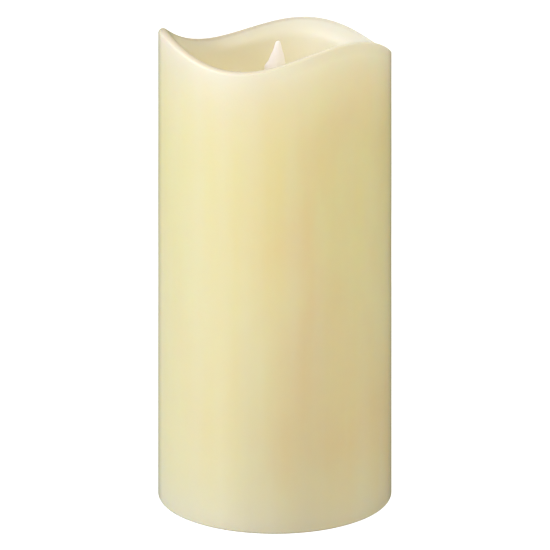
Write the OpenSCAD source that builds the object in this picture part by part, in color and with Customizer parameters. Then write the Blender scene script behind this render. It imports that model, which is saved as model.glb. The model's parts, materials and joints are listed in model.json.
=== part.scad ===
// Flameless pillar candle with a swaying flame.
// Millimetres, +Z up. The origin is the centre of the face that the candle stands on, and -Y is the front.
// A plastic module with two cells in its base and a riser tube slides up into a hollow wax shell. The
// flame hangs on a steel wire above a coil, which kicks the magnet at its lower end.

/* [Wax shell] */
// Outside diameter of the wax
wax_d = 76; // [76:0.5:84]
// Mean height of the rim above the table
rim_mean = 146.6; // [138:0.1:160]
// Height of the rim's three waves, from the mean to a peak
rim_wave = 3.9; // [0:0.1:4.5]
// Direction of the first peak, from +X
rim_peak_angle = 70.8; // [0:0.1:119.9]
// Height of the slower wave that makes the three peaks unequal
rim_sag = 0.6; // [0:0.1:1.5]
// Direction in which that slower wave is highest
rim_sag_angle = -22; // [-90:1:90]
// How much higher than the mean the whole rim stands on its high side
rim_lean = 0.8; // [0:0.1:1.2]
// Direction of that high side
rim_lean_angle = 221; // [0:1:359]
// Thickness of the wall at the rim
rim_wall = 4.6; // [4:0.1:5.2]
// Rounding of the rim's outer edge at the front and the back
rim_round = 0.95; // [0.7:0.05:1.2]
// How much larger that rounding is on the left, and smaller on the right
rim_round_swing = 0.6; // [0:0.05:0.6]
// Tilt of the top of the wall, which slopes down into the well
rim_tilt = 36; // [30:1:45]
// Depth of the well, from the mean rim to the lip of its centre hole
well_depth = 23.4; // [22.6:0.2:28]

/* [Base module] */
// Height of the base, from the table to the top of its cover
base_h = 23; // [23:0.5:26]
// Height of the recessed floor above the table
floor_z = 1.2; // [1:0.1:1.6]
// Thickness of the floor and of the cover
floor_t = 2; // [1.8:0.1:2.4]
// Outside diameter of the riser tube
riser_d = 26; // [25:0.5:27]

/* [Cells] */
// Diameter over the sleeve of one cell
cell_d = 14.5; // [14:0.1:14.5]
// Length of a cell with its button
cell_length = 50.2; // [49.2:0.1:50.5]
// Distance from the middle to the axis of each cell
cell_offset = 7.6; // [7.4:0.05:7.6]

/* [Flame] */
// Height of the pivot wire below the well's lip
pivot_drop = 5.1; // [5:0.1:6]
// Radius of the pivot wire
wire_r = 0.4; // [0.3:0.05:0.5]
// Gap between the pivot wire and the hole in the flame
pivot_play = 0.08; // [0.03:0.01:0.1]
// Radius of the magnet
magnet_r = 2.45; // [2:0.05:3]
// Thickness of the leaf along its middle
flame_t = 1; // [0.8:0.05:1.2]

/* [Hidden] */
$fn = 48;
slack = 0.2; // gap between parts that are pushed together
eps = 0.5; // how far a cut runs past the face that it opens

// Wax shell
wax_r = wax_d / 2;
recess_r = wax_r - 4; // opening for the base module
cavity_r = wax_r - 5; // hollow above it
lip_z = rim_mean - well_depth;
lip_r = 14; // centre hole of the well
well_floor_t = 2.8;
foot_round = 0.8;

// Base module
chassis_r = recess_r - slack;
chassis_wall = 1.6;
chassis_in = chassis_r - chassis_wall;
deck_z = floor_z + floor_t; // top of the chassis floor
cover_z = base_h - floor_t; // underside of the cover
bay = [56.4, 30.4]; // inside of the battery bay
bay_wall = 1.2;
bay_top = 17;
post_at = [18.5, 21.5]; // the four posts that the chassis screws pass through
post_top = 10.8;
screw_seat = 6;
riser_r = riser_d / 2;
riser_in = riser_r - 1.6;

// Battery door
door_gap = 0.3;
door_hole = [[-26.2, -15], [26.6, 15]];
latch_w = 9;

// Cells and contacts
cell_r = cell_d / 2;
cell_z = deck_z + 0.35 + cell_r;
contact_t = 0.4;
contact_x = bay.x / 2; // outer face of each contact plate
button_h = 1.8;
tab_top = 19.2;

// Control board and switch
board_at = [0, 22.6];
board_size = [30, 10.8];
board_z = 9;
board_t = 1.6;
board_screw_at = [12.4, 25.2];
switch_y = 23.2;
switch_travel = 2;
pad_y = 18.8;

// Mechanism
cap_top = lip_z - 1;
cap_z = cap_top - 3.6; // top edge of the housing, where the cap sits
pivot_z = lip_z - pivot_drop;
housing_r = 16;
housing_in = 14.4;
housing_floor = cap_z - 34;
collar_h = 8;
bobbin_r = 7;
bobbin_h = 9;
magnet_z = pivot_z - 16.5;
led_r = 2.5;
led_tilt = 20;
led_foot = [0, -9.4, pivot_z - 11.4];

// Height of the rim's crest in direction a
function rim_z(a) = rim_mean + rim_wave * cos(3 * (a - rim_peak_angle))
    + rim_sag * cos(2 * (a - rim_sag_angle)) + rim_lean * cos(a - rim_lean_angle);

// Points on an ellipse round c, with half axes s, from angle a to angle b in n steps
function arc(c, s, a, b, n) = [for (i = [0:n]) let (t = a + (b - a) * i / n)
    [c.x + s.x * cos(t), c.y + s.y * sin(t)]];

function unit(v) = v / norm(v);

// Smooth curve through the points p, with n steps between each pair
function spline(p, n) = [
    for (i = [0:len(p) - 2], k = [0:n - 1]) let (
        a = p[max(i - 1, 0)], b = p[i], c = p[i + 1], d = p[min(i + 2, len(p) - 1)], t = k / n)
        0.5 * (2 * b + (c - a) * t + (2 * a - 5 * b + 4 * c - d) * t * t
            + (3 * b - a - 3 * c + d) * t * t * t),
    p[len(p) - 1]];

// Triangles of a grid of n rings of m points. It closes on itself if looped, or else has flat ends.
function grid_faces(n, m, looped) = [
    for (i = [0:n - (looped ? 1 : 2)], j = [0:m - 1]) let (
        a = i * m + j, b = i * m + (j + 1) % m,
        c = ((i + 1) % n) * m + (j + 1) % m, d = ((i + 1) % n) * m + j)
        each [[a, b, c], [a, c, d]],
    if (!looped) [for (j = [m - 1:-1:0]) j],
    if (!looped) [for (j = [0:m - 1]) (n - 1) * m + j]];

// Round rod of radius r along the points of path
module rod(path, r, sides = 8) {
    last = len(path) - 1;
    t = [for (i = [0:last]) unit(path[min(i + 1, last)] - path[max(i - 1, 0)])];
    start = unit(cross(t[0], abs(t[0].z) < 0.9 ? [0, 0, 1] : [1, 0, 0]));
    u = [for (i = 0, n = start; i <= last;
        i = i + 1, n = i > last ? n : unit(n - (n * t[i]) * t[i])) n];
    points = [for (i = [0:last], j = [0:sides - 1]) let (a = -360 * j / sides)
        path[i] + r * (u[i] * cos(a) + cross(t[i], u[i]) * sin(a))];
    polyhedron(points, grid_faces(last + 1, sides, false), convexity = 10);
}

// Tube from z0 to z1
module ring(r_out, r_in, z0, z1) {
    translate([0, 0, z0])
        difference() {
            cylinder(r = r_out, h = z1 - z0);
            translate([0, 0, -eps]) cylinder(r = r_in, h = z1 - z0 + 2 * eps);
        }
}

// Box from corner a to corner b
module block(a, b) {
    translate(a) cube(b - a);
}

module rounded_square(size, r) {
    square([size.x - 2 * r, size.y], center = true);
    square([size.x, size.y - 2 * r], center = true);
    for (x = [-1, 1], y = [-1, 1])
        translate([x * (size.x / 2 - r), y * (size.y / 2 - r)]) circle(r);
}

// Copies at the four corners of a rectangle
module corners(p) {
    for (x = [-1, 1], y = [-1, 1])
        translate([x * p.x, y * p.y]) children();
}

// Pan-head screw. The head's seat is at z = 0 and the shank points up.
module pan_screw(head_r, head_h, shank_r, length) {
    slot = head_r * 0.28;
    difference() {
        union() {
            rotate_extrude()
                polygon([[0, 0], [head_r, 0], [head_r, -head_h * 0.5], [head_r * 0.72, -head_h],
                    [0, -head_h]]);
            cylinder(r = shank_r, h = length - shank_r);
            translate([0, 0, length - shank_r]) cylinder(r1 = shank_r, r2 = 0.2, h = shank_r);
        }
        for (a = [0, 90])
            rotate(a)
                translate([-head_r * 0.6, -slot / 2, -head_h - eps])
                    cube([head_r * 1.2, slot, head_h * 0.6 + eps]);
    }
}

// Outline of the wax in direction a, as a loop of [radius, height], starting at the outer foot
function wax_section(a) = let (
    crest = rim_z(a),
    edge = rim_round - rim_round_swing * cos(a),
    turn = 90 + rim_tilt,
    inner = wax_r - rim_wall,
    slope = (rim_wall - edge * (1 - cos(turn))) / (1 + cos(turn)), // radius of the inner slope
    slope_z = crest - edge + (edge - slope) * sin(turn),
    floor_out = lip_z + 2.2, // the well's floor where it meets its round corner
    corner = 7,
    under = lip_z - well_floor_t)
    concat(
        arc([wax_r - foot_round, foot_round], [foot_round, foot_round], -90, 0, 3),
        [[wax_r, rim_mean * 0.35], [wax_r, rim_mean * 0.7], [wax_r, rim_mean - 13]],
        arc([wax_r - edge, crest - edge], [edge, edge], 0, 90, 4),
        arc([inner + slope, slope_z], [slope, slope], turn, 180, 6),
        arc([inner - corner, floor_out + corner], [corner, corner], 0, -90, 5),
        arc([lip_r + 1, lip_z - 1], [1, 1], 90, 180, 3),
        [[lip_r, under], [chassis_r * 0.72, under + 0.4]],
        arc([cavity_r - 5, under - 4.6], [5, 5], 90, 0, 4),
        [[cavity_r, rim_mean * 0.5], [cavity_r, base_h + 0.1], [recess_r, base_h + 0.1],
            [recess_r, foot_round], [recess_r + foot_round, 0]]);

module wax_shell() {
    steps = 96;
    sections = [for (i = [0:steps - 1]) wax_section(360 * i / steps)];
    points = [for (i = [0:steps - 1], p = sections[i]) let (a = 360 * i / steps)
        [p.x * cos(a), p.x * sin(a), p.y]];
    color("#f1e6bd")
        polyhedron(points, grid_faces(steps, len(sections[0]), true), convexity = 10);
}

module chassis_shell() {
    ring(chassis_r, chassis_in, 0, cover_z);
    ring(chassis_r, chassis_in - 1, 0, deck_z);
    translate([0, 0, floor_z]) cylinder(r = chassis_in, h = floor_t);
}

module bay_walls() {
    out = [bay.x / 2 + bay_wall, bay.y / 2 + bay_wall];
    intersection() {
        cylinder(r = chassis_in + 0.4, h = bay_top);
        difference() {
            block([-out.x, -out.y, deck_z - 0.2], [out.x, out.y, bay_top]);
            block([-bay.x / 2, -bay.y / 2, 0], [bay.x / 2, bay.y / 2, bay_top + eps]);
        }
    }
}

// Raised marks beside the switch: a dot for on, a ring for off and a pair of dots for the timer
module switch_marks() {
    y = switch_y + 5.4;
    low = floor_z - 0.3;
    for (x = [-2 * switch_travel, 2 * switch_travel - 0.8, 2 * switch_travel + 0.8])
        translate([x, y, low]) cylinder(r = 0.5, h = 1);
    translate([0, y, 0]) ring(0.9, 0.5, low, floor_z + 0.1);
}

module base_chassis() {
    color("#e9e1c8")
        difference() {
            union() {
                chassis_shell();
                bay_walls();
                corners(post_at) translate([0, 0, floor_z]) cylinder(r = 3.2, h = post_top - floor_z);
                for (x = [-1, 1])
                    translate([x * board_screw_at.x, board_screw_at.y, floor_z])
                        cylinder(r = 2.6, h = board_z - floor_z);
                switch_marks();
            }
            block([door_hole[0].x, door_hole[0].y, 0], [door_hole[1].x, door_hole[1].y, deck_z + eps]);
            corners(post_at) {
                translate([0, 0, -eps]) cylinder(r = 2.6, h = screw_seat + eps);
                cylinder(r = 1.45, h = post_top + eps);
            }
            for (x = [-1, 1])
                translate([x * board_screw_at.x, board_screw_at.y, deck_z + 1])
                    cylinder(r = 1, h = board_z);
            // Finger scoop beside the door's latch
            translate([door_hole[0].x, 0, floor_z - eps]) cylinder(r = latch_w / 2, h = 1.1 + eps);
            // Dished recess and slot for the switch knob
            translate([0, switch_y, floor_z - eps])
                linear_extrude(0.9 + eps) rounded_square([13, 6.4], 2);
            block([-4.2, switch_y - 1.7, 0], [4.2, switch_y + 1.7, deck_z + eps]);
        }
}

module chassis_cover() {
    boss_r = 3;
    gusset = [11, 14];
    color("#e9e1c8")
        difference() {
            union() {
                translate([0, 0, cover_z]) cylinder(r = chassis_r, h = floor_t);
                ring(chassis_in - 0.1, chassis_in - 1.6, cover_z - 1.6, cover_z);
                corners(post_at)
                    translate([0, 0, post_top + 0.1]) cylinder(r = boss_r, h = cover_z - post_top);
                ring(riser_r, riser_in, cover_z, housing_floor);
                // Rib that stops the cells from lifting
                block([-22, -1, 16.5], [22, 1, cover_z + 0.2]);
                for (a = [45:90:315])
                    rotate(a)
                        translate([riser_r - 0.3, 0.6, base_h - 0.2])
                            rotate([90, 0, 0])
                                linear_extrude(1.2) polygon([[0, 0], [gusset.x, 0], [0, gusset.y]]);
            }
            translate([0, 0, cover_z - 6]) cylinder(r = riser_in, h = base_h);
            corners(post_at) translate([0, 0, post_top - eps]) cylinder(r = 1.3, h = 9);
            for (a = [0, 180])
                rotate(a)
                    translate([0, 0, housing_floor - collar_h / 2])
                        rotate([0, 90, 0]) cylinder(r = 1.05, h = riser_d);
        }
}

module chassis_screws() {
    color("#b8b8ba")
        corners(post_at) translate([0, 0, screw_seat]) pan_screw(2.4, 1.8, 1.25, 12);
}

module battery_door() {
    lo = [door_hole[0].x + door_gap, door_hole[0].y + door_gap];
    hi = [door_hole[1].x - door_gap, door_hole[1].y - door_gap];
    slot = 0.8;
    bevel = [1.3, 1.5]; // lets the end swing clear of the floor as the door tips open
    tongue_y = 12.6;
    tongue_top = deck_z + 1;
    color("#e9e1c8")
        difference() {
            union() {
                translate([0, hi.y, 0])
                    rotate([90, 0, 0])
                        linear_extrude(hi.y - lo.y)
                            polygon([[lo.x, floor_z], [hi.x - bevel.x, floor_z],
                                [hi.x, floor_z + bevel.y], [hi.x, deck_z], [lo.x, deck_z]]);
                // Tongues that hook over the end of the opening
                for (y = [-tongue_y, tongue_y]) {
                    block([hi.x - 4, y - 1.5, deck_z - 0.2], [hi.x, y + 1.5, tongue_top]);
                    block([hi.x - 1, y - 1.5, deck_z + 0.05], [hi.x + 1.4, y + 1.5, tongue_top]);
                }
                // Nib of the latch
                block([lo.x - 0.2, -latch_w / 2 + 1, deck_z - 0.9], [lo.x + 1, latch_w / 2 - 1, deck_z]);
            }
            // Slots that free the latch's finger
            for (y = [-latch_w / 2, latch_w / 2])
                block([lo.x - eps, y - slot / 2, 0], [lo.x + 9, y + slot / 2, 5]);
            // Grip grooves across the finger
            for (i = [0:3])
                translate([lo.x + 2 + 1.6 * i, 0, floor_z])
                    rotate([90, 0, 0]) cylinder(r = 0.4, h = latch_w - 2.6, center = true);
        }
}

// Places a cell's parts along its own +X, from the flat end at x = 0 to the button
module cell_place(rear) {
    x0 = contact_x - contact_t - 0.05 - cell_length;
    rotate(rear ? 180 : 0)
        translate([x0, -cell_offset, cell_z])
            rotate([0, 90, 0]) children();
}

module cell_can() {
    body = cell_length - button_h;
    difference() {
        union() {
            cylinder(r = cell_r - 0.3, h = body);
            cylinder(r = 4.6, h = body + 0.4);
            cylinder(r = 2.6, h = cell_length);
        }
        // Groove round the flat end, where the can is crimped over its seal
        ring(5.6, 5, -eps, 0.3);
    }
}

module cell_sleeve() {
    ring(cell_r, cell_r - 0.25, 0.15, cell_length - button_h - 0.15);
}

module aa_cell_front() {
    color("#c9c9cc") cell_place(false) cell_can();
}

module aa_cell_front_sleeve() {
    color("#3f5f6b") cell_place(false) cell_sleeve();
}

module aa_cell_rear() {
    color("#c9c9cc") cell_place(true) cell_can();
}

module aa_cell_rear_sleeve() {
    color("#3f5f6b") cell_place(true) cell_sleeve();
}

// Contact plate on the -X end wall, with its solder tab
module contact_plate(y, width, tab) {
    x = -contact_x;
    block([x, y - width / 2, cell_z - 5.4], [x + contact_t, y + width / 2, cell_z + 5.2]);
    if (tab)
        block([x, y - 1.6, cell_z], [x + contact_t, y + 1.6, tab_top]);
}

// Conical spring from the -X contact plate to the flat end of a cell
module contact_spring(y) {
    turns = 4;
    steps = 14;
    wire = 0.35;
    x0 = -contact_x + contact_t + wire - 0.1;
    x1 = contact_x - contact_t - 0.05 - cell_length - wire - 0.05;
    lie = 0.75; // share of a turn that lies flat at each end
    path = [for (i = [0:turns * steps]) let (
        t = i / steps,
        rise = max(0, min(1, (t - lie) / (turns - 2 * lie))),
        r = 4.6 - 1.8 * rise)
        [x0 + (x1 - x0) * rise, y + r * cos(360 * t), cell_z + r * sin(360 * t)]];
    rod(path, wire, 6);
}

module negative_contact() {
    color("#d6d3c8") {
        contact_plate(-cell_offset, 11, true);
        contact_spring(-cell_offset);
    }
}

module positive_contact() {
    color("#d6d3c8") contact_plate(cell_offset, 11, true);
}

module bridge_contact() {
    color("#d6d3c8")
        rotate(180) {
            contact_plate(0, 4 * cell_offset - 4, false);
            contact_spring(-cell_offset);
        }
}

module control_board() {
    color("#2f6b3c")
        difference() {
            intersection() {
                translate([board_at.x, board_at.y, board_z])
                    linear_extrude(board_t) rounded_square(board_size, 1);
                cylinder(r = chassis_in - 0.6, h = base_h);
            }
            for (x = [-1, 1])
                translate([x * board_screw_at.x, board_screw_at.y, 0]) cylinder(r = 1.15, h = base_h);
        }
}

module board_screws() {
    color("#b8b8ba")
        for (x = [-1, 1])
            translate([x * board_screw_at.x, board_screw_at.y, board_z + board_t])
                rotate([180, 0, 0]) pan_screw(1.9, 1.2, 0.95, 6);
}

// Chip with n gull-wing legs along each long side, standing on z = 0
module chip(size, n, pitch) {
    block([-size.x / 2, -size.y / 2, 0.15], [size.x / 2, size.y / 2, size.z]);
    for (i = [0:n - 1], s = [-1, 1])
        translate([(i - (n - 1) / 2) * pitch, s * (size.y / 2 + 0.45), 0])
            block([-0.2, -0.55, 0], [0.2, 0.55, 0.5]);
}

module on_board(x, y) {
    translate([x, y, board_z + board_t]) children();
}

module timer_chip() {
    color("#222326") on_board(5.4, 24) chip([4.9, 3.9, 1.6], 4, 1.27);
}

module drive_transistor() {
    color("#222326") on_board(-2.2, 25.2) chip([2.9, 1.3, 1.1], 2, 1.9);
}

module chip_resistors() {
    color("#2a2a2c")
        for (p = [[-4.6, 21.6], [-2, 21.6], [0.6, 21.6]])
            on_board(p.x, p.y) block([-0.65, -1, 0], [0.65, 1, 0.55]);
}

module smoothing_capacitor() {
    color("#2b3350")
        on_board(-8.2, 23) {
            cylinder(r = 2.5, h = 7);
            cylinder(r = 2.7, h = 0.6);
        }
}

module switch_case() {
    case = [8.6, 4, 3.4];
    skin = 0.4;
    color("#c4c4c6")
        translate([0, switch_y, board_z - case.z])
            difference() {
                block([-case.x / 2, -case.y / 2, 0], [case.x / 2, case.y / 2, case.z]);
                block([-case.x / 2 + skin, -case.y / 2 + skin, skin],
                    [case.x / 2 - skin, case.y / 2 - skin, case.z - skin]);
                block([-switch_travel - 1, -0.9, -eps], [switch_travel + 1, 0.9, 1]);
            }
}

module switch_slider() {
    color("#1f1f21") {
        block([-1.8, switch_y - 1.4, 6.1], [1.8, switch_y + 1.4, 8.4]);
        block([-0.75, switch_y - 0.75, 3.8], [0.75, switch_y + 0.75, 6.3]);
    }
}

module switch_knob() {
    color("#2b2b2d")
        difference() {
            union() {
                block([-2.1, switch_y - 1.5, 0.5], [2.1, switch_y + 1.5, deck_z + 0.3]);
                block([-6.7, switch_y - 2.9, deck_z + 0.1], [6.7, switch_y + 2.9, deck_z + 0.9]);
                block([-1.6, switch_y - 1.5, deck_z], [1.6, switch_y + 1.5, deck_z + 1.8]);
            }
            block([-0.8, switch_y - 0.8, deck_z - 0.4], [0.8, switch_y + 0.8, 9]);
            for (x = [-1.2, 0, 1.2])
                translate([x, switch_y, 0.5])
                    rotate([90, 0, 0]) cylinder(r = 0.3, h = 6, center = true);
        }
}

module battery_wire_red() {
    color("#b3261e")
        rod(spline([[-27.1, 7.6, 17.7], [-26.9, 8.3, 19], [-25.2, 11, 19.4], [-21.5, 15, 19.3],
            [-16.6, 17.7, 17.4], [-13, 18.9, 13.6], [-12.8, pad_y, board_z + board_t + 0.1]], 5), 0.6);
}

module battery_wire_black() {
    color("#202022")
        rod(spline([[-27.1, -7.6, 17.7], [-26.6, -6.6, 19.1], [-24.6, -2, 19.6], [-23.4, 4, 19.6],
            [-19.5, 12, 19.6], [-14, 17, 18.4], [-10, 18.8, 14], [-9.8, pad_y, board_z + board_t + 0.1]], 5),
            0.6);
}

module led_wires() {
    color("#dcdcda")
        for (s = [-1, 1])
            rod(spline([[s * 1.4, pad_y, board_z + board_t + 0.1], [s * 1.4, 18.4, 15], [s * 1.4, 16, 18.9],
                [s * 1.4, 11.2, 19.8], [s * 1.4, 8.2, 22.8], [s * 1.4, 6, 32], [s * 1.4, -2, 55],
                [s * 1.4, -9, housing_floor - 8], [s * 1.4, -9.7, housing_floor + 1],
                [s * 1.5, -10.6, housing_floor + 7], [s * 1.3, -11.6, led_foot.z - 8.2]], 4), 0.5);
}

module coil_wires() {
    color("#a8572a")
        for (s = [0, 1])
            rod(spline([[7 + 2 * s, pad_y, board_z + board_t + 0.1], [7 + 2 * s, 18.4, 15],
                [6 + s, 16, 18.9], [4 + s, 10.8, 19.8], [3 + s, 8, 22.8], [3 + s, 8, 34],
                [0.4 + 1.2 * s, 9, 74], [0.4 + 1.2 * s, 9.7, housing_floor + 1],
                [1 + 1.6 * s, 7.4, housing_floor + 4.4]], 4), 0.28, 6);
}

module mechanism_housing() {
    base = housing_floor;
    color("#e4dcc2")
        difference() {
            union() {
                ring(housing_r, housing_in, base, cap_z);
                translate([0, 0, base]) cylinder(r = housing_r, h = 2.4);
                ring(riser_r + 2, riser_r + 0.15, base - collar_h, base);
                intersection() {
                    translate([0, 0, base]) cylinder(r = housing_in + 0.3, h = cap_z - base);
                    union() {
                        led_axis() translate([0, 0, -3]) cylinder(r = led_r + 1.4, h = 8);
                        // Web that ties the lamp's barrel to the wall
                        block([-1, -housing_r, led_foot.z - 4], [1, led_foot.y - 2, led_foot.z + 5]);
                    }
                }
            }
            led_axis() {
                translate([0, 0, 1.2]) cylinder(r = led_r + 0.08, h = 9);
                translate([0, 0, -6]) cylinder(r = led_r + 0.5, h = 7.2);
            }
            for (y = [-1, 1])
                translate([0, y * 9.7, base - eps]) cylinder(r = 2.2, h = 4);
            // Notches that hold the pivot wire
            block([-wire_r - 0.05, -housing_r - eps, pivot_z - wire_r - 0.02],
                [wire_r + 0.05, housing_r + eps, cap_z + eps]);
            for (a = [0, 180])
                rotate(a)
                    translate([riser_r - 1, 0, base - collar_h / 2])
                        rotate([0, 90, 0]) cylinder(r = 1.05, h = 6);
        }
}

module led_axis() {
    translate(led_foot) rotate([-led_tilt, 0, 0]) children();
}

module housing_screws() {
    color("#b8b8ba")
        for (a = [0, 180])
            rotate(a)
                translate([riser_r + 2, 0, housing_floor - collar_h / 2])
                    rotate([0, -90, 0]) pan_screw(1.9, 1.2, 0.95, 4.4);
}

module aperture_cap() {
    spigot = housing_in - 0.1;
    color("#efe5c6")
        difference() {
            union() {
                translate([0, 0, cap_z]) cylinder(r = housing_r + 1.4, h = 1.6);
                translate([0, 0, cap_z]) cylinder(r = lip_r - 0.4, h = cap_top - cap_z);
                ring(spigot, spigot - 1.3, cap_z - 2.4, cap_z);
            }
            translate([0, 0, cap_z - eps]) cylinder(r = lip_r - 1.8, h = cap_top - cap_z - 1.4 + eps);
            translate([0, 0, cap_z]) {
                // Slot for the flame, and the window in front of it for the lamp's beam
                linear_extrude(9) rounded_square([15, 6], 2.9);
                translate([0, -4.2, 0]) cylinder(r = 3.6, h = 9);
            }
            // Gaps that clear the pivot wire
            block([-1, -housing_r, cap_z - 3], [1, housing_r, cap_z - 0.05]);
        }
}

module led_lens() {
    color("#f2e3b0")
        led_axis() {
            cylinder(r = led_r + 0.4, h = 1);
            cylinder(r = led_r, h = 6.1);
            translate([0, 0, 6.1]) sphere(r = led_r);
        }
}

module led_leads() {
    color("#cfcfd2")
        led_axis()
            for (s = [-1, 1])
                block([s * 1.27 - 0.25, -0.25, -8], [s * 1.27 + 0.25, 0.25, -0.05]);
}

module coil_bobbin() {
    base = housing_floor + 2.4;
    flange = 0.8;
    color("#efefec")
        difference() {
            translate([0, 0, base])
                rotate_extrude()
                    polygon([[0, 0], [bobbin_r, 0], [bobbin_r, flange], [2.6, flange],
                        [2.6, bobbin_h - flange], [bobbin_r, bobbin_h - flange], [bobbin_r, bobbin_h],
                        [0, bobbin_h]]);
            translate([0, 0, base - eps]) cylinder(r = 1.4, h = bobbin_h + 2 * eps);
        }
}

module drive_coil() {
    base = housing_floor + 2.4;
    color("#b5652b") ring(6.3, 2.65, base + 0.85, base + bobbin_h - 0.85);
}

module pivot_wire() {
    color("#d8d8da")
        translate([0, 0, pivot_z])
            rotate([90, 0, 0]) cylinder(r = wire_r, h = 2 * housing_r - 0.6, center = true);
}

// Stations up the leaf: height above the pivot, left edge, right edge, bow towards the front
flame_stations = [
    [4.2, -2, 2, 0.1], [6.5, -4.1, 4.1, 1], [10.5, -5.8, 5.7, 1.9], [14.5, -5.4, 5.4, 2],
    [17.4, -3.8, 4.7, 1.8], [20.5, -3.35, 3.7, 1.5], [22.3, -2.1, 3.3, 1.2], [24.2, -1.3, 2.9, 0.9],
    [25.8, -0.55, 2.4, 0.6], [27.4, 0, 2, 0.35], [28.7, 0.85, 1.25, 0.05]];

// Thin bowed leaf. Each ring of points runs along the front from right to left and back along the rear.
module flame_body() {
    steps = 10;
    rings = spline(flame_stations, 3);
    points = [for (s = rings, j = [0:2 * steps + 1]) let (
        front = j <= steps,
        u = front ? 1 - 2 * j / steps : 2 * (j - steps - 1) / steps - 1,
        half = flame_t / 2 * (1 - 0.5 * u * u))
        [(s[1] + s[2]) / 2 + (s[2] - s[1]) / 2 * u, (front ? -half : half) - s[3] * (1 - u * u), s[0]]];
    polyhedron(points, grid_faces(len(rings), 2 * steps + 2, false), convexity = 4);
}

module flame_leaf() {
    stem = 0.6; // half the thickness of the stem
    drop = pivot_z - magnet_z;
    color("#f7e8dc")
        translate([0, 0, pivot_z])
            difference() {
                union() {
                    flame_body();
                    block([-2, -stem, 0], [2, stem, 6]);
                    block([-1.7, -stem, -drop], [1.7, stem, 0]);
                    rotate([90, 0, 0]) cylinder(r = 2.6, h = 2 * stem, center = true);
                    translate([0, 0, -drop])
                        rotate([90, 0, 0]) cylinder(r = magnet_r + 0.9, h = 2 * stem, center = true);
                }
                rotate([90, 0, 0]) cylinder(r = wire_r + pivot_play, h = 9, center = true);
                translate([0, 0, -drop])
                    rotate([90, 0, 0]) cylinder(r = magnet_r + 0.03, h = 9, center = true);
            }
}

module flame_magnet() {
    color("#9a9aa0")
        translate([0, 0, magnet_z])
            rotate([90, 0, 0]) cylinder(r = magnet_r, h = 2, center = true);
}

wax_shell();
base_chassis();
chassis_cover();
chassis_screws();
battery_door();
aa_cell_front();
aa_cell_front_sleeve();
aa_cell_rear();
aa_cell_rear_sleeve();
negative_contact();
positive_contact();
bridge_contact();
control_board();
board_screws();
timer_chip();
drive_transistor();
chip_resistors();
smoothing_capacitor();
switch_case();
switch_slider();
switch_knob();
battery_wire_red();
battery_wire_black();
led_wires();
coil_wires();
mechanism_housing();
housing_screws();
aperture_cap();
led_lens();
led_leads();
coil_bobbin();
drive_coil();
pivot_wire();
flame_leaf();
flame_magnet();
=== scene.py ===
import json
import math

import bpy
import numpy as np
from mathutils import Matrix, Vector, noise


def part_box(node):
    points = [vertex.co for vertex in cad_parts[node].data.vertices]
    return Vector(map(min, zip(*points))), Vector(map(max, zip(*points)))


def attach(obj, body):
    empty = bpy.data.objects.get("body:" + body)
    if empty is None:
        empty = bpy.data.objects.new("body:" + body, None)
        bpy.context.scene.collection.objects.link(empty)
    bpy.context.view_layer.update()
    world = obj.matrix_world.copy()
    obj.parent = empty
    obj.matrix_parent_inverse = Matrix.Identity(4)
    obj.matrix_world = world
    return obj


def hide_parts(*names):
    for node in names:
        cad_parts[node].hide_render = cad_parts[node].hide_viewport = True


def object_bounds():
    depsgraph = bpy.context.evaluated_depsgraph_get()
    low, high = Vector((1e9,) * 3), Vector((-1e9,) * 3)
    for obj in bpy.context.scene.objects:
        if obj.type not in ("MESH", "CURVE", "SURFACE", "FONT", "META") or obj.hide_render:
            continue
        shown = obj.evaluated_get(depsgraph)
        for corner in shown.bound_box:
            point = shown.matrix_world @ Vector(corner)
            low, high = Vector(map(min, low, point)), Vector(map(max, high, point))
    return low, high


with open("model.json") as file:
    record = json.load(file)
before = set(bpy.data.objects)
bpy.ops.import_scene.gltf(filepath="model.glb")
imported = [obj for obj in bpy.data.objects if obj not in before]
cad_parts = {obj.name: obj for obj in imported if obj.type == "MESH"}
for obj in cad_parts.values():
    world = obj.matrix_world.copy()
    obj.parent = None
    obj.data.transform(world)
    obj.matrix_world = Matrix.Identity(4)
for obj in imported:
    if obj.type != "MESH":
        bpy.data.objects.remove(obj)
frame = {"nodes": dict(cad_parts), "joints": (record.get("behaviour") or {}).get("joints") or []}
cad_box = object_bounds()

MM = 0.001

# Camera: it stands back and looks level through a long lens. The shift down brings the candle into the
# picture and keeps its sides parallel.
CAMERA_PLACE = (0.0, -0.775, 0.2725)
CAMERA_LENS = 155.7  # millimetres, and so is the sensor
CAMERA_SENSOR = 36
CAMERA_SHIFT = (0.0003, -1.1275)

# Wax shell, millimetres
WAX_TURNS = 384  # points round the shell
RIM_SECTIONS = 96  # directions in which the CAD rim has its points
RIM_HARMONICS = 9  # slowest waves of the CAD rim, which are the ones kept
RIM_WALL = 4.6
RIM_ROUND = 0.95  # rounding of the rim's outer edge, which is softest on the left and sharpest on the right
RIM_ROUND_SWING = 0.6
RIM_TILT = 36  # degrees that the top of the wall slopes down into the well
FOOT_ROUND = 0.5
BOWL_CORNER = 7.0
BOWL_SWEEP = 84  # degrees that the bowl's corner turns before the well's floor runs on straight
BOWL_FALL = 2.2  # how far the well's floor falls towards the middle
LIP_RADIUS = 14.0
LIP_ROUND = 1.0
LIP_STEP = 1.0  # how far the lip stands above the mechanism's lid
LIP_THICK = 2.8
WALL_THICK = 5.0
CEILING_RISE = 0.4  # how far the hollow's ceiling rises outwards
CEILING_EDGE = 4.0  # last stretch of the ceiling, beside its corner
CEILING_EDGE_RISE = 0.1
CAVITY_CORNER = 5.0
BASE_PLAY = 0.2  # round the base module
BASE_HEADROOM = 2.1  # from the top of the base's floor part to the step inside the shell
SKIN_DEPTH = 1.2  # points no deeper than this below the outside are its skin
SKIN_WAVE = 0.08  # how far the skin wanders inwards
SKIN_WAVE_SIZE = (14, 14, 30)
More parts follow.
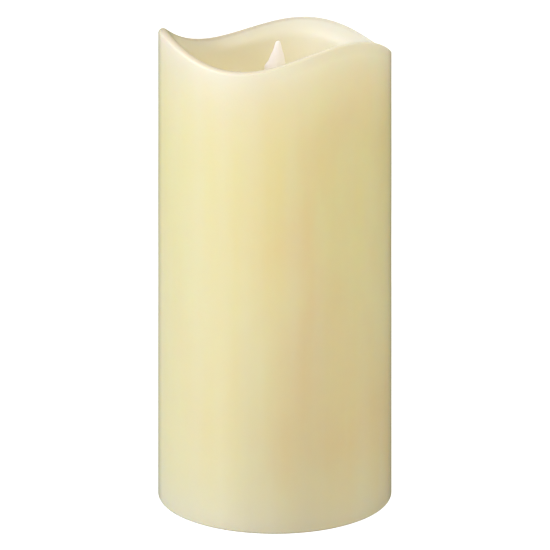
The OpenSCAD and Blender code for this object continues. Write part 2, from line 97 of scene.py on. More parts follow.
EDGE_STEPS = 14  # steps along an arc that shows
HIDDEN_STEPS = 6
FOOT_STEPS = 5
SIDE_STEPS = 40
WELL_STEPS = 3
FLOOR_STEPS = 12

# Painted light and shade on the wax, millimetres
PALE_RIM = 13.0  # how far down the outside the rim's painted highlight fades
PALE_LEDGE = 5.0  # how far down the inside the ledge's painted shade fades
CREST_DEPTH = 0.8  # how far down either side the crest's painted shade and duller specular reach
PALE_FOOT = 11.0  # how far up the foot's painted bounce light fades
WELL_SPILL = 0.6  # share of the well's painted light and shade that reaches the crest
SPILL_OUTSIDE = 0.45  # how far down the outside that share fades
SPILL_INSIDE = 1.0  # how far down the inside the tint grows whole

# Flame, millimetres
# Leaf outline above the pivot: height, left edge, right edge, fold depth
LEAF = [
    (3.4, -2.0, 2.0, 0.0), (6.5, -4.1, 4.1, 0.8), (10.5, -5.8, 5.7, 1.2), (14.5, -5.4, 5.4, 1.3),
    (17.4, -3.8, 4.7, 1.2), (19.2, -3.45, 4.1, 1.1), (20.5, -3.35, 3.7, 1.0), (21.4, -2.8, 3.5, 0.95),
    (22.3, -2.1, 3.3, 0.9), (24.2, -1.3, 2.9, 0.7), (25.8, -0.55, 2.4, 0.5), (27.4, -0.05, 2.05, 0.35),
    (28.3, 0.35, 1.8, 0.2), (28.68, 0.85, 1.3, 0.1),
]
LEAF_THICK = 0.9
LEAF_STEPS = 7  # points from one row of LEAF to the next
LEAF_SIDES = 48  # points round the leaf
LEAF_SQUARE = (0.7, 0.55)  # powers that turn a circle into the leaf's flatter section, across and deep
LEAF_SLENDER = 2.2  # the leaf is at least this many times as wide as half its thickness
FOLD_SOFT = 0.02  # rounding of the fold, as a share of the half width squared
STEM_THICK = 1.2
STEM_HALF = 1.7
STEM_STATIONS = 90
TAIL_END = 0.25  # half width at the very bottom
BOSS_RADIUS = 2.6
MAGNET_RING = 0.9  # wall round the magnet
BORE_SIDES = 40
PIVOT_PLAY = 0.08
MAGNET_PLAY = 0.03

# Coil, millimetres
WIRE_PITCH = 0.35  # one turn of the coil
WIRE_RELIEF = 0.09
WIRE_STEPS = 6  # points across one turn
WINDING_DEPTH = 3.6
COIL_SIDES = 72

# Wax colours, linear
IVORY = (0.86, 0.78, 0.44, 1)
IVORY_DEEP = (0.86, 0.70, 0.38, 1)
IVORY_PALE = (0.88, 0.815, 0.67, 1)
IVORY_RIM_HIGHLIGHT = (0.98, 0.92, 0.75, 1)  # the rim's painted highlight on the right
# Painted bounce light from the floor, above the foot:
IVORY_FOOT_BOUNCE = (0.77, 0.735, 0.61, 1)
# Painted shade along the silhouette:
IVORY_EDGE_SHADE = (0.42, 0.42, 0.26, 1)
IVORY_SHADE = (0.76, 0.695, 0.485, 1)  # painted shade in the well, on the left
IVORY_WELL_LIT = (0.82, 0.765, 0.585, 1)  # painted light in the well, on the right
UPPER_TINT = (1.0, 1.0, 0.85, 1)  # tint that makes the upper half yellower
LOW_SHADE = (0.93, 0.92, 0.92, 1)  # painted shade low in the middle, between the two lights
LEDGE_SHADE = (0.75, 0.78, 0.93, 1)  # painted shade just inside the crest
CREST_SHADE = (0.825, 0.78, 0.755, 1)  # painted shade along the crest, which tones down its highlight

# Other colours, linear
FLAME_PINK = (1.0, 0.84, 0.81, 1)
FLAME_CREAM = (1.0, 0.87, 0.61, 1)
FLAME_MIST = (0.99, 0.86, 0.82, 1)
CREAM_PLASTIC = (0.80, 0.72, 0.52, 1)
NYLON = (0.80, 0.80, 0.75, 1)
BLACK = (0.03, 0.03, 0.033, 1)
ZINC = (0.62, 0.62, 0.63, 1)
NICKEL = (0.70, 0.67, 0.61, 1)
MAGNET_NICKEL = (0.64, 0.64, 0.66, 1)
TIN = (0.72, 0.72, 0.70, 1)
CAN_STEEL = (0.66, 0.65, 0.63, 1)
ALUMINIUM = (0.7, 0.7, 0.72, 1)
COPPER_GROOVE = (0.50, 0.17, 0.06, 1)
COPPER_CROWN = (0.80, 0.36, 0.15, 1)
WIRE_RED = (0.45, 0.02, 0.015, 1)
WIRE_WHITE = (0.74, 0.74, 0.71, 1)
BOARD_GREEN = (0.015, 0.13, 0.045, 1)
TRACK_GREEN = (0.05, 0.26, 0.09, 1)
BOARD_WHITE = (0.75, 0.76, 0.72, 1)
CAPACITOR_BLUE = (0.02, 0.035, 0.12, 1)
CAPACITOR_STRIPE = (0.55, 0.58, 0.62, 1)
CELL_BODY = (0.015, 0.055, 0.08, 1)
CELL_SHOULDER = (0.62, 0.33, 0.16, 1)
CELL_LINES = (0.7, 0.7, 0.7, 1)
EPOXY_PHOSPHOR = (0.95, 0.80, 0.42, 1)
EPOXY_CLEAR = (0.98, 0.95, 0.88, 1)

# Marks on small parts, metres
RING_RADIUS = 0.0024  # tinned rings round the board's screws
OUTLINE_GAP = 0.0009  # from a part to the line round it
OUTLINE_WIDTH = 0.0003
STRIPE_HALF = 0.0008
CAN_RADIUS = 0.0021  # bare end of the capacitor
SHOULDER_LENGTH = 0.012
SLEEVE_LINES = ((0.0135, 0.0141), (0.0152, 0.0155))  # from the button end

# Parts with tinned ends or legs, and half the length of the body between them, millimetres
TIPPED_PARTS = {"timer_chip": 1.96, "drive_transistor": 0.66, "chip_resistors": 0.7}

# Floor
FLOOR_LOOK = (0.4, 0.4, 0.4, 1)  # as the camera sees it
FLOOR_BOUNCE = (0.25, 0.25, 0.24, 1)  # as it throws light back
FLOOR_GLOW = 0.95
FLOOR_RADIUS = 12.0  # metres
FLOOR_SIDES = 96

# Light
WORLD_COLOUR = (1.06, 1.0, 0.76, 1)
WORLD_STRENGTH = 0.46
WORLD_LOOK = (0.96, 0.96, 0.96, 1)  # as the camera sees it, which is only from below the floor
COOL_LIGHT = (0.94, 1.01, 1.18)
NEUTRAL_LIGHT = (1.0, 0.99, 0.97)


# ---------------------------------------------------------------- shading helpers

class Shader:
    """One material's node tree, with short calls for the nodes that these materials use."""

    def __init__(self, name):
        self.material = bpy.data.materials.new(name)
        self.material.use_nodes = True
        self.tree = self.material.node_tree
        self.tree.nodes.clear()
        self.surface = self.add("BsdfPrincipled")
        output = self.add("OutputMaterial")
        self.tree.links.new(self.surface.outputs[0], output.inputs["Surface"])

    def add(self, kind, props=None, **inputs):
        """Adds a node. Inputs are given by name, with _ for a space, as a value or a socket."""
        made = self.tree.nodes.new("ShaderNode" + kind)
        for name, value in (props or {}).items():
            setattr(made, name, value)
        for name, value in inputs.items():
            self.put(made.inputs[name.replace("_", " ")], value)
        return made

    def put(self, socket, value):
        if isinstance(value, bpy.types.NodeSocket):
            self.tree.links.new(value, socket)
        else:
            socket.default_value = value

    def set(self, **inputs):
        """Sets inputs of the principled surface."""
        for name, value in inputs.items():
            self.put(self.surface.inputs[name.replace("_", " ")], value)

    def place(self, stretch=(1, 1, 1)):
        """Position on the piece in metres, scaled by stretch."""
        where = self.add("TexCoord").outputs["Object"]
        if tuple(stretch) == (1, 1, 1):
            return where
        return self.add("Mapping", Vector=where, Scale=stretch).outputs[0]

    def noise(self, size, detail=3.0, roughness=0.5, stretch=(1, 1, 1), distortion=0.0):
        """Noise from 0 to 1 whose main blobs are about size metres across."""
        return self.add("TexNoise", Vector=self.place(stretch), Scale=1 / size, Detail=detail,
                        Roughness=roughness, Distortion=distortion).outputs["Fac"]

    def fit(self, value, low, high, to_low=0.0, to_high=1.0):
        """Maps low..high to to_low..to_high, and stops at the ends."""
        made = self.add("MapRange", Value=value)
        for name, number in (("From Min", low), ("From Max", high), ("To Min", to_low), ("To Max", to_high)):
            made.inputs[name].default_value = number
        return made.outputs[0]

    def math(self, operation, a, b=0.0):
        made = self.add("Math", {"operation": operation})
        self.put(made.inputs[0], a)
        self.put(made.inputs[1], b)
        return made.outputs[0]

    def mix(self, share, a, b, blend="MIX"):
        """Colour a, changed towards b by share."""
        made = self.add("Mix", {"data_type": "RGBA", "blend_type": blend})
        self.put(made.inputs[0], share)
        self.put(made.inputs[6], a)
        self.put(made.inputs[7], b)
        return made.outputs[2]

    def along(self, axis):
        """Position on the piece along one axis, in metres."""
        return self.add("SeparateXYZ", Vector=self.place()).outputs["XYZ".index(axis)]

    def between(self, value, low, high):
        """1 where value lies between low and high, and 0 elsewhere."""
        return self.math("MULTIPLY", self.math("GREATER_THAN", value, low),
                         self.math("LESS_THAN", value, high))

    def beyond(self, axis, centre, half):
        """1 where the piece is more than half away from centre along an axis."""
        away = self.math("ABSOLUTE", self.math("SUBTRACT", self.along(axis), centre))
        return self.math("GREATER_THAN", away, half)

    def attribute(self, name):
        return self.add("Attribute", {"attribute_name": name}).outputs["Fac"]

    def bump(self, height, distance, normal=None):
        """Normal that stands height times distance metres proud."""
        made = self.add("Bump", Height=height, Distance=distance)
        if normal is not None:
            self.put(made.inputs["Normal"], normal)
        return made.outputs[0]

    def bevel(self, radius):
        """Normal that rounds the edges of a CAD part by radius metres."""
        return self.add("Bevel", {"samples": 6}, Radius=radius).outputs[0]


def dress(material, *nodes):
    """Gives CAD nodes a material in every slot."""
    for node in nodes:
        mesh = frame["nodes"][node].data
        mesh.materials.clear()
        mesh.materials.append(material)


def middle(node):
    low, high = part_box(node)
    return (low + high) / 2


def half_height(node):
    """Half the height of a node's box in millimetres, which is the radius of a pin that lies level."""
    low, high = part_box(node)
    return (high.z - low.z) / MM / 2


def screw_spread():
    """How far out each of the two board screws stands, since their heads end the node's box."""
    low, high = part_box("board_screws")
    return (high.x - low.x) / 2 - (high.y - low.y) / 2


# ---------------------------------------------------------------- materials

def ivory_wax():
    """Cast wax: satin, soft light inside and a cloudy uneven tint, with painted light: a highlight below the
    rim, bounce light above the foot, light and shade in the well, and shade along the crest, low in the
    middle and at the silhouette.
    """
    s = Shader("ivory_wax")
    grain = s.noise(0.0011, 2, 0.6)
    colour = s.mix(s.attribute("well"), wax_outside(s), wax_inside(s))
    crest = s.attribute("crest")
    # Painted shade along the crest, fading out to the right, tones down the crest's highlight; the crest's
    # specular is lowered too.
    wear_and_crest_shade = s.math("MULTIPLY", crest, s.fit(s.along("X"), 0.01, 0.03, 1, 0.3))
    colour = s.mix(wear_and_crest_shade, colour, CREST_SHADE, "MULTIPLY")
    # Painted shade: a thin dark line along the silhouette.
    grazing = s.add("LayerWeight", Blend=0.5).outputs["Facing"]
    colour = s.mix(s.fit(grazing, 0.76, 0.96, 0, 0.8), colour, IVORY_EDGE_SHADE)
    s.set(Base_Color=colour, Subsurface_Weight=0.6, Subsurface_Scale=0.004,
          Subsurface_Radius=(1.0, 0.75, 0.4), IOR=1.44,
          Specular_IOR_Level=s.fit(crest, 0.1, 0.7, 0.8, 0.1),
          Roughness=s.fit(grain, 0.3, 0.7, 0.42, 0.56))
    dents = s.bump(s.noise(0.012, 2, 0.5), 0.0002)
    s.set(Normal=s.bump(grain, 0.00003, dents))
    return s.material


def wax_outside(s):
    """Deeper clouds, mostly on the right, a yellower upper half, faint upright streaks, and painted light:
    shade in the middle low down, a highlight below the rim and bounce light above the foot."""
    x, z = s.along("X"), s.along("Z")
    clouds = s.noise(0.026, 3, 0.5, stretch=(1, 1, 0.45), distortion=0.5)
    streaks = s.noise(0.007, 3, 0.5, stretch=(1, 1, 0.07))
    deep = s.math("MULTIPLY", s.fit(clouds, 0.36, 0.66), s.fit(x, -0.025, 0.01, 0.3, 1))
    colour = s.mix(deep, IVORY, IVORY_DEEP)
    colour = s.mix(s.fit(z, 0.06, 0.12), colour, UPPER_TINT, "MULTIPLY")
    colour = s.mix(s.fit(streaks, 0.3, 0.75, 0, 0.25), colour, IVORY_PALE)
    # Painted highlight below the rim, brighter on the right.
    rim_highlight = s.mix(s.fit(x, -0.004, 0.014), IVORY_PALE, IVORY_RIM_HIGHLIGHT)
    colour = s.mix(s.attribute("rim"), colour, rim_highlight)
    # Painted bounce light from the floor, greyer and paler low down.
    colour = s.mix(s.math("MULTIPLY", s.attribute("foot"), 0.7), colour, IVORY_FOOT_BOUNCE)
    # Painted shade low in the middle, between the two lights.
    central = s.math("MULTIPLY", s.fit(x, -0.017, -0.008), s.fit(x, 0.01, 0.022, 1, 0))
    low_shade = s.math("MULTIPLY", central, s.fit(z, 0.03, 0.08, 1, 0))
    return s.mix(low_shade, colour, LOW_SHADE, "MULTIPLY")


def wax_inside(s):
    """The well, in painted light and shade: lit on the right, shaded on the left, and darker and cooler just
    inside the crest.
    """
    colour = s.mix(s.fit(s.along("X"), -0.006, 0.013), IVORY_SHADE, IVORY_WELL_LIT)
    return s.mix(s.attribute("ledge"), colour, LEDGE_SHADE, "MULTIPLY")


def flame_plastic():
    """Frosted translucent plastic, pinkish white at the tip and warmer low down on the right."""
    s = Shader("flame_plastic")
    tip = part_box("flame_leaf")[1].z
    warm_low = s.fit(s.along("Z"), tip - 0.012, tip - 0.004, 1, 0)
    warm_right = s.fit(s.along("X"), -0.0005, 0.003)
    mist = s.noise(0.003, 3, 0.6)
    colour = s.mix(s.math("MULTIPLY", warm_low, warm_right), FLAME_PINK, FLAME_CREAM)
    colour = s.mix(s.fit(mist, 0.3, 0.8, 0, 0.3), colour, FLAME_MIST)
    s.set(Base_Color=colour, Subsurface_Weight=0.7, Subsurface_Scale=0.003,
          Subsurface_Radius=(1, 0.9, 0.8), Roughness=s.fit(mist, 0.2, 0.8, 0.3, 0.46),
          Normal=s.bump(s.noise(0.0004, 2), 0.00001))
    return s.material


def moulded(s, colour, metallic=0.0, edge=0.00025, gloss=0.45):
    """Finishes a shader as a spark-textured moulding with soft edges, slight drift of colour and handling."""
    drift = s.noise(0.015, 3, 0.6)
    wear_and_crest_shade = s.noise(0.004, 4, 0.7)
    spark = s.noise(0.00045, 2, 0.7)
    shaded = s.mix(s.fit(drift, 0.3, 0.7, 0, 0.05), colour, (0, 0, 0, 1))
    dull = s.fit(wear_and_crest_shade, 0.4, 0.7, 0, 0.08)
    s.set(Base_Color=shaded, Metallic=metallic,
          Roughness=s.math("ADD", s.fit(spark, 0.3, 0.7, gloss - 0.08, gloss + 0.08), dull),
          Normal=s.bump(spark, 0.00002, s.bevel(edge)))
    return s.material


def plastic(name, colour, edge=0.00025, gloss=0.45):
    return moulded(Shader(name), colour, 0.0, edge, gloss)


def plated_metal(name, colour, edge=0.00006, gloss=0.28):
    """Plated metal with fine scratches and a few duller patches."""
    s = Shader(name)
    scratches = s.noise(0.0005, 4, 0.6, stretch=(1, 6, 1))
    patches = s.noise(0.004, 3, 0.5)
    dull = tuple(0.75 * c for c in colour[:3]) + (1,)
    s.set(Base_Color=s.mix(s.fit(patches, 0.45, 0.75, 0, 0.5), colour, dull), Metallic=1.0,
          Roughness=s.fit(scratches, 0.25, 0.75, gloss - 0.1, gloss + 0.14),
          Normal=s.bump(scratches, 0.000006, s.bevel(edge)))
    return s.material


def tipped(node, body_half):
    """A part on the board: black, with tinned ends or legs further than body_half mm from its middle."""
    s = Shader(node)
    ends = s.beyond("Y", middle(node).y, body_half * MM)
    return moulded(s, s.mix(ends, BLACK, TIN), ends, 0.00006, 0.35)


def board():
    """Green board: tracks under the mask, tinned rings round the screws, white outlines round parts."""
    s = Shader("board_green")
    tracks = s.add("TexBrick", {"offset": 0.37, "squash": 1.0}, Vector=s.place(), Scale=1 / 0.012,
                   Color1=(0, 0, 0, 1), Color2=(0, 0, 0, 1), Mortar=(1, 1, 1, 1), Mortar_Size=0.03,
                   Brick_Width=0.32, Row_Height=0.11).outputs["Color"]
    colour = s.mix(tracks, BOARD_GREEN, TRACK_GREEN)
    for node in ("timer_chip", "drive_transistor", "smoothing_capacitor"):
        colour = s.mix(outline(s, node), colour, BOARD_WHITE)
    rings = 0.0
    for side in (-1, 1):
        ring = disc(s, side * screw_spread(), middle("board_screws").y, RING_RADIUS)
        rings = s.math("MAXIMUM", rings, ring)
    return moulded(s, s.mix(rings, colour, TIN), rings, 0.00008, 0.22)


def outline(s, node):
    """1 on a rectangular line round a node's box, seen from above."""
    low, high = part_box(node)
    outer, inner = 1.0, 1.0
    for axis, a, b in (("X", low.x, high.x), ("Y", low.y, high.y)):
        where = s.along(axis)
        a, b = a - OUTLINE_GAP, b + OUTLINE_GAP
        outer = s.math("MULTIPLY", outer, s.between(where, a, b))
        inner = s.math("MULTIPLY", inner, s.between(where, a + OUTLINE_WIDTH, b - OUTLINE_WIDTH))
    return s.math("SUBTRACT", outer, inner)


def disc(s, x, y, radius):
    """1 within radius of a vertical line."""
    across = s.math("SUBTRACT", s.along("X"), x)
    deep = s.math("SUBTRACT", s.along("Y"), y)
    squared = s.math("ADD", s.math("MULTIPLY", across, across), s.math("MULTIPLY", deep, deep))
    return s.math("LESS_THAN", squared, radius * radius)


def capacitor():
    """Blue sleeve with a pale stripe down the negative side, and bare aluminium on the can's end."""
    s = Shader("capacitor_sleeve")
    at = middle("smoothing_capacitor")
    stripe = s.between(s.math("SUBTRACT", s.along("Y"), at.y), -STRIPE_HALF, STRIPE_HALF)
    stripe = s.math("MULTIPLY", stripe, s.math("LESS_THAN", s.along("X"), at.x))
    colour = s.mix(stripe, CAPACITOR_BLUE, CAPACITOR_STRIPE)
    upright = s.add("SeparateXYZ", Vector=s.add("NewGeometry").outputs["Normal"]).outputs["Z"]
    end = s.math("GREATER_THAN", s.math("ABSOLUTE", upright), 0.9)
    end = s.math("MULTIPLY", end, disc(s, at.x, at.y, CAN_RADIUS))
    return moulded(s, s.mix(end, colour, ALUMINIUM), end, 0.0002, 0.28)


def cell_sleeve(node):
    """Printed film: a dark body, a bright shoulder at the button end and two thin lines. No lettering."""
    s = Shader(node + "_print")
    low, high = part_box(node)
    cell_low, cell_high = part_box(node.replace("_sleeve", ""))
    button_right = cell_high.x - high.x > low.x - cell_low.x
    start, way = (high.x, -1) if button_right else (low.x, 1)
    depth = s.math("MULTIPLY", s.math("SUBTRACT", s.along("X"), start), way)
    shoulder = s.math("LESS_THAN", depth, SHOULDER_LENGTH)
    lines = s.math("ADD", *(s.between(depth, *ends) for ends in SLEEVE_LINES))
    colour = s.mix(shoulder, CELL_BODY, CELL_SHOULDER)
    colour = s.mix(lines, colour, CELL_LINES)
    return moulded(s, colour, s.math("MULTIPLY", shoulder, 0.8), 0.0003, 0.2)


def clear_epoxy():
    """Warm-white LED: water-clear epoxy with a slight yellow cast from the phosphor inside."""
    s = Shader("led_epoxy")
    low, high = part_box("led_lens")
    colour = s.mix(s.fit(s.along("Z"), low.z, high.z), EPOXY_PHOSPHOR, EPOXY_CLEAR)
    s.set(Base_Color=colour, Transmission_Weight=0.75, IOR=1.5, Normal=s.bevel(0.0001),
          Roughness=s.fit(s.noise(0.002, 3), 0.3, 0.7, 0.04, 0.12))
    return s.material


def enamelled_copper(name):
    """Copper wire under clear enamel, with darker and lighter stretches."""
    s = Shader(name)
    tone = s.noise(0.0012, 3, 0.6, stretch=(1, 1, 4))
    s.set(Base_Color=s.mix(tone, COPPER_GROOVE, COPPER_CROWN), Metallic=0.9,
          Roughness=s.fit(tone, 0.3, 0.7, 0.22, 0.36), Coat_Weight=0.6, Coat_Roughness=0.1)
    return s.material


# ---------------------------------------------------------------- mesh helpers

def grid_object(name, points, attributes=None, loop_rows=True, capped=True):
    """Mesh object from rows of points in millimetres. Each row is a loop. The rows close on themselves too,
    or else the first and the last row are capped or left open."""
    rows, columns = points.shape[:2]
    index = np.arange(rows * columns).reshape(rows, columns)
    r = np.arange(rows if loop_rows else rows - 1)
    c = np.arange(columns)
    a = index[r][:, c]
    b = index[r][:, (c + 1) % columns]
    d = index[(r + 1) % rows][:, c]
    e = index[(r + 1) % rows][:, (c + 1) % columns]
    faces = np.stack([a, b, e, d], axis=-1).reshape(-1, 4).tolist()
    if capped and not loop_rows:
        faces += [index[0][::-1].tolist(), index[-1].tolist()]
    mesh = bpy.data.meshes.new(name)
    mesh.from_pydata((points.reshape(-1, 3) * MM).tolist(), [], faces)
    for key, values in (attributes or {}).items():
        layer = mesh.attributes.new(key, "FLOAT", "POINT")
        layer.data.foreach_set("value", np.asarray(values, np.float32).ravel())
    mesh.polygons.foreach_set("use_smooth", [True] * len(mesh.polygons))
    made = bpy.data.objects.new(name, mesh)
    bpy.context.scene.collection.objects.link(made)
    return made


def finish_piece(piece, material, body, node):
    """Dresses a piece that stands for a CAD node and rides on its body."""
    piece.data.materials.append(material)
    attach(piece, body)
    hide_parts(node)


def smooth_curve(stations, samples):
    """Catmull-Rom curve through the rows of stations, with samples points between each pair."""
    p = np.asarray(stations, float)
    out = []
    for i in range(len(p) - 1):
        a, b, c, d = p[max(i - 1, 0)], p[i], p[i + 1], p[min(i + 2, len(p) - 1)]
        for t in np.arange(samples) / samples:
            out.append(0.5 * (2 * b + (c - a) * t + (2 * a - 5 * b + 4 * c - d) * t ** 2
                              + (3 * b - a - 3 * c + d) * t ** 3))
    return np.array(out + [p[-1]])


# ---------------------------------------------------------------- wax shell

def rim_heights(turns):
    """Height of the CAD rim's crest in each of a ring of directions, in millimetres."""
    points = np.array([v.co for v in frame["nodes"]["wax_shell"].data.vertices]) / MM
    angle = np.degrees(np.arctan2(points[:, 1], points[:, 0])) % 360
    spoke = np.rint(angle / (360 / RIM_SECTIONS)).astype(int) % RIM_SECTIONS
    crest = np.array([points[spoke == i, 2].max() for i in range(RIM_SECTIONS)])
    # A Fourier series through the sections gives a smooth rim at any number of directions.
    waves = np.fft.rfft(crest) / RIM_SECTIONS
    a = np.arange(turns) * 2 * math.pi / turns
    rise = sum((waves[k] * np.exp(1j * k * a)).real for k in range(1, RIM_HARMONICS + 1))
    return waves[0].real + 2 * rise


def arc(centre, r, start, end, steps):
    """Points on a circle, from angle start to angle end in degrees, ends included."""
    t = np.radians(np.linspace(start, end, steps + 1))
    return [(centre[0] + r * math.cos(v), centre[1] + r * math.sin(v)) for v in t]


def line(a, b, steps):
    """Points between a and b, both left out."""
    return [tuple(np.array(a) + (np.array(b) - np.array(a)) * i / steps) for i in range(1, steps)]


def rim_outline(angle, crest, radius):
    """The rim in one direction: round the outer edge, down a slope and round into the inner wall."""
    edge = RIM_ROUND - RIM_ROUND_SWING * math.cos(angle)
    turn = math.radians(90 + RIM_TILT)
    slope = (RIM_WALL - edge * (1 - math.cos(turn))) / (1 + math.cos(turn))
    slope_z = crest - edge + (edge - slope) * math.sin(turn)
    outer = arc((radius - edge, crest - edge), edge, 0, 90 + RIM_TILT, EDGE_STEPS)
    inner = arc((radius - RIM_WALL + slope, slope_z), slope, 90 + RIM_TILT, 180, EDGE_STEPS)
    return outer + inner[1:]


def wax_section(angle, crest, sizes):
    """Outline of the wax in one direction: up the outside, over the crest, down into the well and home."""
    radius, lip_z, base_top, recess_r = sizes
    inner = radius - RIM_WALL
    cavity_r = radius - WALL_THICK
    bowl_z = lip_z + BOWL_FALL + BOWL_CORNER
    lip_r = LIP_RADIUS + LIP_ROUND
    under = lip_z - LIP_THICK
    ceiling = under + CEILING_RISE
    rim = rim_outline(angle, crest, radius)
    outline = arc((radius - FOOT_ROUND, FOOT_ROUND), FOOT_ROUND, -90, 0, FOOT_STEPS)
    outline += line(outline[-1], rim[0], SIDE_STEPS)
    outline += rim
    outline += line(outline[-1], (inner, bowl_z), WELL_STEPS)
    outline += arc((inner - BOWL_CORNER, bowl_z), BOWL_CORNER, 0, -BOWL_SWEEP, EDGE_STEPS)
    outline += line(outline[-1], (lip_r, lip_z), FLOOR_STEPS)
    outline += arc((lip_r, lip_z - LIP_ROUND), LIP_ROUND, 90, 180, HIDDEN_STEPS)
    outline += [(LIP_RADIUS, under), (cavity_r - CAVITY_CORNER - CEILING_EDGE, ceiling - CEILING_EDGE_RISE)]
    outline += arc((cavity_r - CAVITY_CORNER, ceiling - CAVITY_CORNER), CAVITY_CORNER, 90, 0, HIDDEN_STEPS)
    outline += line(outline[-1], (cavity_r, base_top), FLOOR_STEPS)
    outline += [(cavity_r, base_top), (recess_r, base_top)]
    outline += [(recess_r, FOOT_ROUND), (recess_r + FOOT_ROUND, 0)]
    return np.array(outline)


def wax_painted_light_masks(outline):
    """Along one outline, the masks for painted light: the highlight below the rim and the bounce light above
    the foot, how much of the well's painted light and shade a point has (some of it spills over the crest),
    and how near it is to the ledge and the crest, which take painted shade."""
    z = outline[:, 1]
    drop = z.max() - z
    inside = np.arange(len(z)) > z.argmax()
    well = np.where(inside, 1 - (1 - WELL_SPILL) * np.exp(-drop / SPILL_INSIDE),
                    WELL_SPILL * np.exp(-drop / SPILL_OUTSIDE))
    rim, ledge = np.exp(-drop / PALE_RIM), np.exp(-drop / PALE_LEDGE)
    crest = np.exp(-(drop / CREST_DEPTH) ** 4)
    return rim, np.exp(-z / PALE_FOOT), well, ledge, crest


def wax_pillar():
    """The shell: straight outside, a waved rim, and a melted well."""
    top = cad_box[1]
    radius = top.x / MM
    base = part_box("base_chassis")[1]
    lip_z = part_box("aperture_cap")[1].z / MM + LIP_STEP
    sizes = (radius, lip_z, base.z / MM + BASE_HEADROOM, base.x / MM + BASE_PLAY)
    rows, painted_light_masks = [], []
    for i, crest in enumerate(np.minimum(rim_heights(WAX_TURNS), top.z / MM)):
        a = 2 * math.pi * i / WAX_TURNS
        outline = wax_section(a, crest, sizes)
        r, z = outline.T
        rows.append(np.stack([r * math.cos(a), r * math.sin(a), z], -1))
        painted_light_masks.append(wax_painted_light_masks(outline))
    painted_light_masks = dict(zip(("rim", "foot", "well", "ledge", "crest"), np.moveaxis(np.array(painted_light_masks), 1, 0)))
    shell = grid_object("wax_pillar", soften(np.array(rows), radius), painted_light_masks)
    finish_piece(shell, ivory_wax(), "candle", "wax_shell")


def soften(points, radius):
    """Moves the shell's skin slightly inwards in slow waves, so that it isn't a perfect cylinder."""
    moved = points.copy()
    skin = np.hypot(points[..., 0], points[..., 1]) > radius - SKIN_DEPTH
    for r, c in zip(*np.nonzero(skin)):
        where = [at / size for at, size in zip(points[r, c], SKIN_WAVE_SIZE)]
        wave = 0.5 + 0.5 * noise.noise(Vector(where))
        moved[r, c, :2] *= 1 - SKIN_WAVE * wave / radius
    return moved


# ---------------------------------------------------------------- flame

def tail_half_width(h, magnet_drop, magnet_r):
    """Half width of the tail at height h: a round boss at the wire, a stem, and a ring for the magnet."""
    widths = [STEM_HALF if h > -magnet_drop else TAIL_END]
    for centre, r in ((0, BOSS_RADIUS), (-magnet_drop, magnet_r + MAGNET_RING)):
        widths.append(math.sqrt(max(r * r - (h - centre) ** 2, 0)))
    return max(widths)


def flame_stations(drop, magnet_r):
    """Stations all the way up the flame: height, left, right, fold and half thickness."""
    bottom = -drop - magnet_r - MAGNET_RING
    stations = []
    for i in range(STEM_STATIONS):
        share = (1 - math.cos(math.pi * i / STEM_STATIONS)) / 2
        h = bottom + (LEAF[0][0] - bottom) * share
        w = tail_half_width(h, drop, magnet_r)
        stations.append((h, -w, w, 0, STEM_THICK / 2))
    return stations + [(*row, LEAF_THICK / 2) for row in smooth_curve(LEAF, LEAF_STEPS)]


def bore(piece, radius, z, depth):
    """Cuts a round hole along Y through a piece, at height z on its middle."""
    phi = np.arange(BORE_SIDES) * 2 * math.pi / BORE_SIDES
    rings = [np.stack([radius * np.cos(phi), np.full(BORE_SIDES, y), z + radius * np.sin(phi)], -1)
             for y in (depth, -depth)]
    cutter = grid_object("cutter", np.array(rings), loop_rows=False)
    cut = piece.modifiers.new("bore", "BOOLEAN")
    cut.operation = "DIFFERENCE"
    cut.solver = "EXACT"
    cut.object = cutter
    bpy.context.view_layer.update()
    cut_mesh = bpy.data.meshes.new_from_object(piece.evaluated_get(bpy.context.evaluated_depsgraph_get()))
    piece.modifiers.clear()
    piece.data = cut_mesh
    bpy.data.objects.remove(cutter)


def signed_power(values, power):
    """Raises the size of each value to a power and keeps its sign."""
    return np.sign(values) * np.abs(values) ** power


def flame():
    """A thin folded leaf of frosted plastic with its stem, wire hole and magnet ring."""
    pivot = next(j for j in frame["joints"] if j["name"] == "flame_sway")["pos_m"][2] / MM
    drop = pivot - middle("flame_magnet").z / MM
    magnet_r = half_height("flame_magnet")
    phi = np.arange(LEAF_SIDES) * 2 * math.pi / LEAF_SIDES
    across = signed_power(np.cos(phi), LEAF_SQUARE[0])
    deep = signed_power(np.sin(phi), LEAF_SQUARE[1])
    rings = []
    for h, left, right, fold, half in flame_stations(drop, magnet_r):
        x = (left + right) / 2 + (right - left) / 2 * across
        thick = min(half, (right - left) / LEAF_SLENDER)
        y = -fold * (1 - np.sqrt(across * across + FOLD_SOFT)) + thick * deep
        rings.append(np.stack([x, y, np.full(LEAF_SIDES, pivot + h)], -1))
    leaf = grid_object("flame", np.array(rings), loop_rows=False)
    bore(leaf, half_height("pivot_wire") + PIVOT_PLAY, pivot, STEM_THICK)
    bore(leaf, magnet_r + MAGNET_PLAY, pivot - drop, STEM_THICK)
    finish_piece(leaf, flame_plastic(), "flame", "flame_leaf")


# ---------------------------------------------------------------- coil

